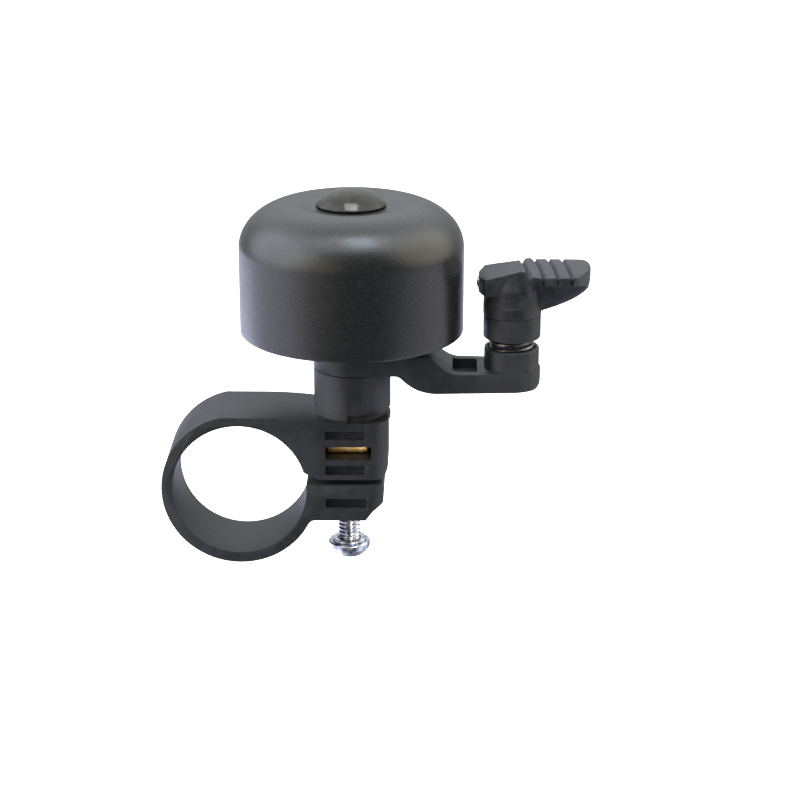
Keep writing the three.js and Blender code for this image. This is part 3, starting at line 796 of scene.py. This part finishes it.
def striker_arm():
    """The arm that turns on the post's spigot and carries the striker on a boss."""
    collar = BELL_X - box_of("striker_arm")[0].x
    reach = HUB_X - BELL_X
    arm = extruded("striker_arm", arm_side(collar, reach + BAR_END), -collar - 1, collar + 1)
    combined(arm, [extruded("plan", arm_plan(collar, reach), RIM_Z - 12, RIM_Z, "plan")], "INTERSECT")
    eased(arm, 0.22)
    boss = turned("boss", rounded([
        (0, BAR_TOP - 0.8), (BAR_END - 0.25, BAR_TOP - 0.8), (BAR_END - 0.25, BAR_TOP),
        (4.6, BOSS_TOP, 0.3), (SPRING_ROOM, BOSS_TOP, 0.15), (SPRING_ROOM, BOSS_TOP - 1), (0, BOSS_TOP - 1),
    ]), HUB_X, RIM_Z, 96)
    fused(arm, boss)
    pocket = rectangle(BELL_X + POCKET_START, -POCKET_HALF, BELL_X + POCKET_END, POCKET_HALF, 0.5)
    bottom = BAR_BOTTOM - 1
    head_top = BAR_BOTTOM + HEAD_ROOM_DEPTH
    cut(
        arm,
        extruded("pocket", pocket, RIM_Z + BAR_TOP - POCKET_DEPTH, RIM_Z, "plan"),
        turned("spigot_hole", [
            (0, bottom), (SPIGOT_HOLE, bottom), (SPIGOT_HOLE, 0), (0, 0)], BELL_X, RIM_Z, 72),
        turned("spring_room", [
            (0, BOSS_FLOOR), (SPRING_ROOM, BOSS_FLOOR), (SPRING_ROOM, 0), (0, 0)], HUB_X, RIM_Z, 64),
        turned("screw_hole", [
            (0, bottom), (HEAD_ROOM, bottom), (HEAD_ROOM, head_top), (SPRING_SCREW_HOLE, head_top),
            (SPRING_SCREW_HOLE, 0), (0, 0),
        ], HUB_X, RIM_Z, 64),
    )
    return placed(eased(arm, 0.1, 50), "striker_arm")


# Flexible neck -------------------------------------------------------------------------------------

COIL_TURNS = 10
STEPS_PER_TURN, WIRE_SIDES = 40, 14
WIRE_RADIUS = 0.42


def flex_spring():
    """A close-wound coil between the boss and the sleeve."""
    low, high = box_of("flex_spring")
    wire = WIRE_RADIUS
    radius = (high.x - low.x) / 2 - wire
    bottom, top = low.z + wire, high.z - wire
    steps, sides = COIL_TURNS * STEPS_PER_TURN, WIRE_SIDES
    vertices = []
    for j in range(steps + 1):
        turn = 2 * math.pi * COIL_TURNS * j / steps
        height = bottom + (top - bottom) * j / steps
        for i in range(sides):
            around = 2 * math.pi * i / sides
            r = radius + wire * math.cos(around)
            rise = wire * math.sin(around)
            vertices.append((HUB_X + r * math.cos(turn), r * math.sin(turn), height + rise))
    coil = piece_from("flex_spring", vertices, tube_faces(sides, steps + 1))
    spring = finished(coil, "flex_spring", 60)
    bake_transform(spring)
    return spring


def lower_spring_plug():
    """The plug inside the coil's lower end, bored from below for its screw."""
    low, high = box_of("lower_spring_plug")
    radius = (high.x - low.x) / 2
    tall = high.z - low.z
    bore, roof = 1.55, tall - 0.4
    section = rounded([
        (bore, 0, 0.1), (radius, 0, 0.25), (radius, tall, 0.5), (0, tall), (0, roof), (bore, roof)], 5)
    return placed(turned("lower_spring_plug", section, HUB_X, low.z, 96), "lower_spring_plug")


def upper_spring_plug():
    """The plug inside the coil's upper end, with a stem up into the lever."""
    low, high = box_of("upper_spring_plug")
    radius = (high.x - low.x) / 2
    stem, tall, shoulder = 1.8, high.z - low.z, 5.5
    section = rounded([
        (0, 0), (radius, 0, 0.6), (radius, shoulder, 0.2),
        (stem, shoulder, 0.1), (stem, tall, 0.25), (0, tall),
    ], 5)
    return placed(turned("upper_spring_plug", section, HUB_X, low.z, 96), "upper_spring_plug")


def spring_screw():
    """The screw that holds the lower plug from under the arm, with a cross recess."""
    low, high = box_of("spring_screw")
    head = 1.1
    neck = SPRING_SCREW_THREAD - 0.1
    section = rounded([
        (0, 0), (SPRING_SCREW_HEAD, 0, 0.45), (SPRING_SCREW_HEAD, head, 0.1), (neck, head),
        (neck, head + 0.2), (0, head + 0.2),
    ], 5)
    screw = cut(turned("spring_screw", section, HUB_X, low.z, 96), *cross(HUB_X, low.z, *SPRING_SCREW_CROSS))
    foot = low.z + head - 0.05
    shank = threaded(
        "shank", SPRING_SCREW_THREAD, HUB_X, foot, high.z, SPRING_SCREW_PITCH, SPRING_SCREW_CUT)
    return placed(fused(eased(screw, 0.05), shank), "spring_screw", 50)


# Thumb striker -------------------------------------------------------------------------------------

HUB_RADIUS, HUB_BOTTOM = 4.85, 2.95
NOSE_BOTTOM = 7.0
GROOVE_FIRST, GROOVE_PITCH, GROOVE_COUNT = 2.0, 2.3, 4
GROOVE_WIDTH, GROOVE_DEPTH = 0.72, 0.5
PIN_Z = 8.3
PIN_HOLE = 0.95
PIN_CROWN = 0.22


def laid_along_x(piece, x, z):
    """Lays a body from the upright axis down onto the line through (x, 0, z), with its top towards -X."""
    place = Vector((x, 0, z)) * MM
    piece.data.transform(Matrix.Translation(place) @ Matrix.Rotation(-math.pi / 2, 4, "Y"))
    return piece


def striker_sleeve():
    """The ring below the hub's seam, round the coil's upper end."""
    low, high = box_of("striker_sleeve")
    radius = (high.x - low.x) / 2
    tall = high.z - low.z
    section = rounded([
        (SPRING_ROOM, 0, 0.2), (radius, 0, 0.5), (radius, tall, 0.12), (SPRING_ROOM, tall, 0.1)], 6)
    return placed(turned("striker_sleeve", section, HUB_X, low.z, 160), "striker_sleeve")


DECK_SLOPE_END = (1.4, 11.1)
DECK_NOSE = (-4.6, 9.9)
DECK = 11.12
PADDLE_HALF = 6.0
PADDLE_CROWN = 0.5
PLATE_BOTTOM = 8.6
KEEL_HALF, KEEL_FADE = 1.4, 2.2
GROOVE_SLANT = 0.1
FLANK_NOTCH = 0.5


def crowned(outline, stations):
    """A side view pulled along Y, whose top curves down and whose keel curves up towards both edges."""
    vertices = []
    for y in stations:
        share = (y / PADDLE_HALF) ** 2
        for x, z in outline:
            ahead = min(1, max(0, (x - DECK_SLOPE_END[0]) / 2))
            if z > PLATE_BOTTOM:
                z -= PADDLE_CROWN * share * ahead
            elif x > 2.9:
                out = min(1, max(0, (abs(y) - KEEL_HALF) / KEEL_FADE))
                z += (PLATE_BOTTOM + 0.7 * share - z) * out * out * (3 - 2 * out)
            vertices.append((HUB_X + x, y, RIM_Z + z))
    return piece_from("thumb_lever", vertices, tube_faces(len(outline), len(stations)))


def groove_cutter(centre):
    """A V groove across the paddle that keeps its depth under the crown and runs slightly askew."""
    stations = range(-7, 8)
    vertices = []
    for y in stations:
        x = HUB_X + centre - GROOVE_SLANT * y
        top = RIM_Z + DECK_SLOPE_END[1] - PADDLE_CROWN * (y / PADDLE_HALF) ** 2
        vertices.append((x - GROOVE_WIDTH, y, top + GROOVE_DEPTH))
        vertices.append((x, y, top - GROOVE_DEPTH))
        vertices.append((x + GROOVE_WIDTH, y, top + GROOVE_DEPTH))
    return piece_from("groove", vertices, tube_faces(3, len(stations)))


def flank_notch(centre, way):
    """A small upright notch where a groove runs out on one side of the paddle."""
    x = HUB_X + centre - GROOVE_SLANT * way * PADDLE_HALF
    inner = way * (PADDLE_HALF - FLANK_NOTCH)
    outer = way * (PADDLE_HALF + FLANK_NOTCH)
    outline = [(x, inner), (x + GROOVE_WIDTH, outer), (x - GROOVE_WIDTH, outer)]
    return extruded("notch", outline, RIM_Z + 9.3, RIM_Z + 12, "plan")


def lever_side(nose, tip):
    """The lever from the side: the nose's slope, the flat paddle and the keel under it."""
    side = [(nose - 1, NOSE_BOTTOM), (nose - 1, 9.6), (nose, 9.6), DECK_NOSE, DECK_SLOPE_END]
    side += [(2.2, DECK), (4.2, DECK), (8, DECK), (tip - 1.4, 11.1)]
    side += bezier([(tip - 1.4, 11.1), (tip - 0.2, 11.05), (tip + 0.02, 10.3)], 5)
    side += [(tip + 0.02, 9.3)]
    side += bezier([(tip + 0.02, 9.3), (tip - 0.3, 6.6), (8.3, 4.9), (4.2, 3.6)], 16)
    return side + [(3.0, 3.5), (2.8, NOSE_BOTTOM)]


def lever_plan(nose, tip):
    """The lever from above: a pointed nose, a waist round the hub and a paddle with one blunt corner."""
    plan = [(nose, 0), (-5.6, -1.6), (DECK_NOSE[0], -4.6), (-3.6, -4.62), (0.6, -3.8)]
    plan += [(1.3, -3.7), (1.9, -4.2), (2.5, -5.5), (3.1, -5.95), (4.0, -PADDLE_HALF), (9.7, -PADDLE_HALF)]
    plan += bezier([(9.7, -PADDLE_HALF), (tip - 1.4, -PADDLE_HALF + 0.6), (tip, -0.6), (tip, 2.6)], 10)
    plan += bezier([(tip, 2.6), (tip, 4.6), (tip - 0.7, PADDLE_HALF - 0.3), (tip - 1.9, PADDLE_HALF)], 6)
    plan += [(4.0, PADDLE_HALF), (3.1, 5.95), (2.5, 5.5), (1.9, 4.2), (1.3, 3.7)]
    plan += [(0.6, 3.8), (-3.6, 4.62), (DECK_NOSE[0], 4.6), (-5.6, 1.6)]
    return [(HUB_X + x, y) for x, y in plan]


def lever_hub():
    """The round hub under the paddle, hollow for the coil and the upper plug's stem."""
    stem, stem_top, room_top, band = 1.85, 7.3, 5.25, HUB_RADIUS - 0.06
    return turned("hub", rounded([
        (0, stem_top), (stem, stem_top), (stem, room_top), (SPRING_ROOM, room_top), (SPRING_ROOM, HUB_BOTTOM),
        (HUB_RADIUS, HUB_BOTTOM, 0.12), (HUB_RADIUS, 4.95), (band, 5.01), (band, 6.9), (HUB_RADIUS, 6.96),
        (HUB_RADIUS, 7.9, 0.8), (3.75, 11.0), (0, 11.0),
    ]), HUB_X, RIM_Z, 128)


def above_deck():
    """What is cut off above the nose's slope, where the hub would stand out."""
    rise = (DECK_SLOPE_END[1] - DECK_NOSE[1]) / (DECK_SLOPE_END[0] - DECK_NOSE[0])
    start = DECK_NOSE[1] - rise * (9 + DECK_NOSE[0])
    outline = [(-9, start), DECK_SLOPE_END, (5, DECK + 0.01), (5, 14), (-9, 14)]
    return extruded("sky", [(HUB_X + x, RIM_Z + z) for x, z in outline], -9, 9)


def thumb_lever():
    """The lever: a hub with a grooved paddle for the thumb and a nose that holds the pin."""
    low, high = box_of("thumb_lever")
    tip = high.x - HUB_X
    nose = low.x - HUB_X
    lever = crowned(lever_side(nose, tip), [-6.5 + 0.5 * i for i in range(27)])
    combined(lever, [extruded("plan", lever_plan(nose, tip), RIM_Z, RIM_Z + 14, "plan")], "INTERSECT")
    fused(lever, lever_hub())
    cutters = [above_deck()]
    hole = drilled("pin_hole", PIN_HOLE, 0, -3, 3, 32)
    cutters.append(laid_along_x(hole, HUB_X + nose, RIM_Z + PIN_Z))
    for i in range(GROOVE_COUNT):
        centre = GROOVE_FIRST + i * GROOVE_PITCH
        cutters += [groove_cutter(centre), flank_notch(centre, -1), flank_notch(centre, 1)]
    cut(lever, *cutters)
    return placed(eased(lever, 0.12, 28), "thumb_lever", 38)


def striker_pin():
    """The steel pin that strikes the dome, with a domed tip."""
    low, high = box_of("striker_pin")
    radius = (high.z - low.z) / 2
    length = high.x - low.x
    section = rounded([(0, 0), (radius, 0, 0.1), (radius, length / 2)], 6)
    section += ball_top(radius, length, PIN_CROWN, 10)
    pin = laid_along_x(turned("striker_pin", section, 0, 0, 64), high.x, (low.z + high.z) / 2)
    return placed(pin, "striker_pin", 50)


for build in (
    clamp_bracket, clamp_nut, ear_ferrule, clamp_screw, screw_washer, bell_dome, screw_cap, dome_screw,
    dome_washer, dome_cushion, spacer_sleeve, post_insert, friction_washer, striker_arm, flex_spring,
    lower_spring_plug, upper_spring_plug, spring_screw, striker_sleeve, thumb_lever, striker_pin,
):
    build()

# Studio --------------------------------------------------------------------------------------------

TARGET = Vector((BELL_X, 0, RIM_Z)) * MM
AIM = TARGET + Vector((8.01, 0, -12.47)) * MM
PITCH, YAW, DISTANCE = 19.1, -1.1, 380
LENS = 101.5
CLIP_START = 0.01
BACKDROP = 1.3
FLOOR_REACH, FLOOR_HEIGHT, FLOOR_GLOW = 4, -0.5, 1.1


def add_camera():
    """A camera that looks down a little at the bell's front, from a distance in millimetres."""
    camera = bpy.data.objects.new("camera", bpy.data.cameras.new("camera"))
    SCENE.collection.objects.link(camera)
    pitch, yaw = math.radians(PITCH), math.radians(YAW)
    look = Vector((math.sin(yaw) * math.cos(pitch), math.cos(yaw) * math.cos(pitch), -math.sin(pitch)))
    camera.location = AIM - look * DISTANCE * MM
    camera.rotation_mode = "QUATERNION"
    camera.rotation_quaternion = look.to_track_quat("-Z", "Y")
    camera.data.lens = LENS
    camera.data.clip_start = CLIP_START
    SCENE.camera = camera


def direction(azimuth, elevation):
    """The unit vector towards an azimuth from the camera's side and an elevation, in degrees."""
    turn, rise = math.radians(azimuth), math.radians(elevation)
    return Vector((math.sin(turn) * math.cos(rise), -math.cos(turn) * math.cos(rise), math.sin(rise)))


def add_card(name, azimuth, elevation, distance, width, height, radiance, colour, target=TARGET):
    """A soft light, in metres, seen from the target at an azimuth and an elevation."""
    way = direction(azimuth, elevation)
    light = bpy.data.lights.new(name, "AREA")
    light.shape = "RECTANGLE"
    light.size = width
    light.size_y = height
    light.energy = radiance * math.pi * width * height
    light.color = colour
    card = bpy.data.objects.new(name, light)
    card.location = target + way * distance
    card.rotation_mode = "QUATERNION"
    card.rotation_quaternion = (-way).to_track_quat("-Z", "Y")
    card.visible_camera = False
    SCENE.collection.objects.link(card)
    return card


def shine_only_on(card, *names):
    """The card lights only the pieces that stand for these nodes."""
    lit = bpy.data.collections.new("lit_by_" + card.name)
    for name in names:
        lit.objects.link(PIECES[name])
    card.light_linking.receiver_collection = lit


def add_cards():
    """Two lights over the bell, one that only the cap mirrors and one for the clamp's metal parts."""
    # Name, azimuth, elevation, distance, width, height, radiance and colour.
    add_card("overhead", 10, 76, 0.36, 0.36, 0.26, 1.7, (0.98, 0.99, 1.0))
    add_card("key", 30, 77, 0.34, 0.11, 0.14, 6.9, (0.72, 0.88, 1.06))
    window = add_card("window", 0, 86, 0.3, 0.115, 0.14, 11.0, (0.95, 0.98, 1.0))
    shine_only_on(window, "screw_cap")
    low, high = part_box("clamp_nut")
    nut = (low + high) / 2
    hardware = add_card("hardware", 28, -8, 0.05, 0.022, 0.014, 40.0, (1.0, 0.96, 0.9), nut)
    shine_only_on(hardware, "clamp_nut", "ear_ferrule", "clamp_screw", "screw_washer")


# The room's soft lights: azimuth from the camera's side towards +X, elevation, the cosines where each
# fades out and where it is full, radiance and colour.
LOBES = (
    (180, 16, 0.1, 0.9, 0.3, (0.93, 0.96, 1.0)),
    (180, 75, 0.3, 0.95, 1.35, (0.96, 0.97, 1.0)),
    (-84, 24, 0.62, 0.985, 3.5, (0.90, 0.94, 1.05)),
    (-45, 14, 0.74, 0.97, 1.1, (1.0, 0.89, 0.62)),
    (92, 27, 0.66, 0.98, 2.35, (1.0, 0.96, 0.82)),
    (-92, -32, 0.5, 0.95, 2.0, (0.83, 0.82, 1.04)),
    (-158, -22, 0.6, 0.95, 1.5, (0.82, 0.85, 1.12)),
    (90, -32, 0.6, 0.95, 1.1, (0.88, 0.87, 1.04)),
)
ROOM_GLOW = (0.19, 0.215, 0.24)
# The heights at which the lights below the horizon end and those above it are full.
HORIZON = (-0.30, -0.16)


def add_world():
    """The camera sees white. The part sees a dim room with broad soft lights above and below."""
    world = bpy.data.worlds.new("studio")
    SCENE.world = world
    world.use_nodes = True
    tree = world.node_tree
    glow = tree.nodes["Background"]
    white = tree.nodes.new("ShaderNodeBackground")
    white.inputs["Color"].default_value = (1, 1, 1, 1)
    white.inputs["Strength"].default_value = BACKDROP
    seen = tree.nodes.new("ShaderNodeLightPath")
    choice = tree.nodes.new("ShaderNodeMixShader")
    way = add_node(world, "TexCoord")
    height = add_node(world, "VectorMath", {0: way, 1: (0, 0, 1)}, output=1, operation="DOT_PRODUCT")
    above = ranged(world, height, HORIZON[0], HORIZON[1], 0, 1)
    below = ranged(world, height, HORIZON[0], HORIZON[1], 1, 0)
    total = None
    for azimuth, elevation, outer, inner, radiance, colour in LOBES:
        towards = direction(azimuth, elevation)
        facing = add_node(world, "VectorMath", {0: way, 1: towards}, output=1, operation="DOT_PRODUCT")
        lobe = add_node(world, "MapRange", {
            "Value": facing, "From Min": outer, "From Max": inner, "To Max": radiance,
        }, interpolation_type="SMOOTHSTEP")
        side = above if elevation > 0 else below
        lobe = add_node(world, "Math", {0: lobe, 1: side}, operation="MULTIPLY")
        tint = add_node(world, "VectorMath", {0: colour, "Scale": lobe}, operation="SCALE")
        total = add_node(world, "VectorMath", {0: tint, 1: total or ROOM_GLOW}, operation="ADD")
    tree.links.new(total, glow.inputs["Color"])
    glow.inputs["Strength"].default_value = 1
    tree.links.new(seen.outputs["Is Camera Ray"], choice.inputs[0])
    tree.links.new(glow.outputs[0], choice.inputs[1])
    tree.links.new(white.outputs[0], choice.inputs[2])
    tree.links.new(choice.outputs[0], tree.nodes["World Output"].inputs["Surface"])


def add_floor():
    """A wide pale floor well below the part, which hangs in the air where a handlebar would hold it."""
    mesh = bpy.data.meshes.new("floor")
    around = ((-1, -1), (1, -1), (1, 1), (-1, 1))
    corners = [(x * FLOOR_REACH, y * FLOOR_REACH, FLOOR_HEIGHT) for x, y in around]
    mesh.from_pydata(corners, [], [(0, 1, 2, 3)])
    floor = bpy.data.objects.new("floor", mesh)
    SCENE.collection.objects.link(floor)
    material = new_material("floor", {
        "Roughness": 0.9, "Emission Color": (1, 1, 1, 1), "Emission Strength": FLOOR_GLOW})
    feed(material, "Base Color", ramp(material, noise(material, 40, detail=2.0), [
        (0.3, (0.82, 0.82, 0.82)), (0.7, (0.86, 0.86, 0.86))]))
    mesh.materials.append(material)
    floor.visible_glossy = False
    floor.visible_diffuse = False
    floor.visible_shadow = False


add_camera()
add_cards()
add_world()
add_floor()
SCENE.view_settings.view_transform = "Standard"
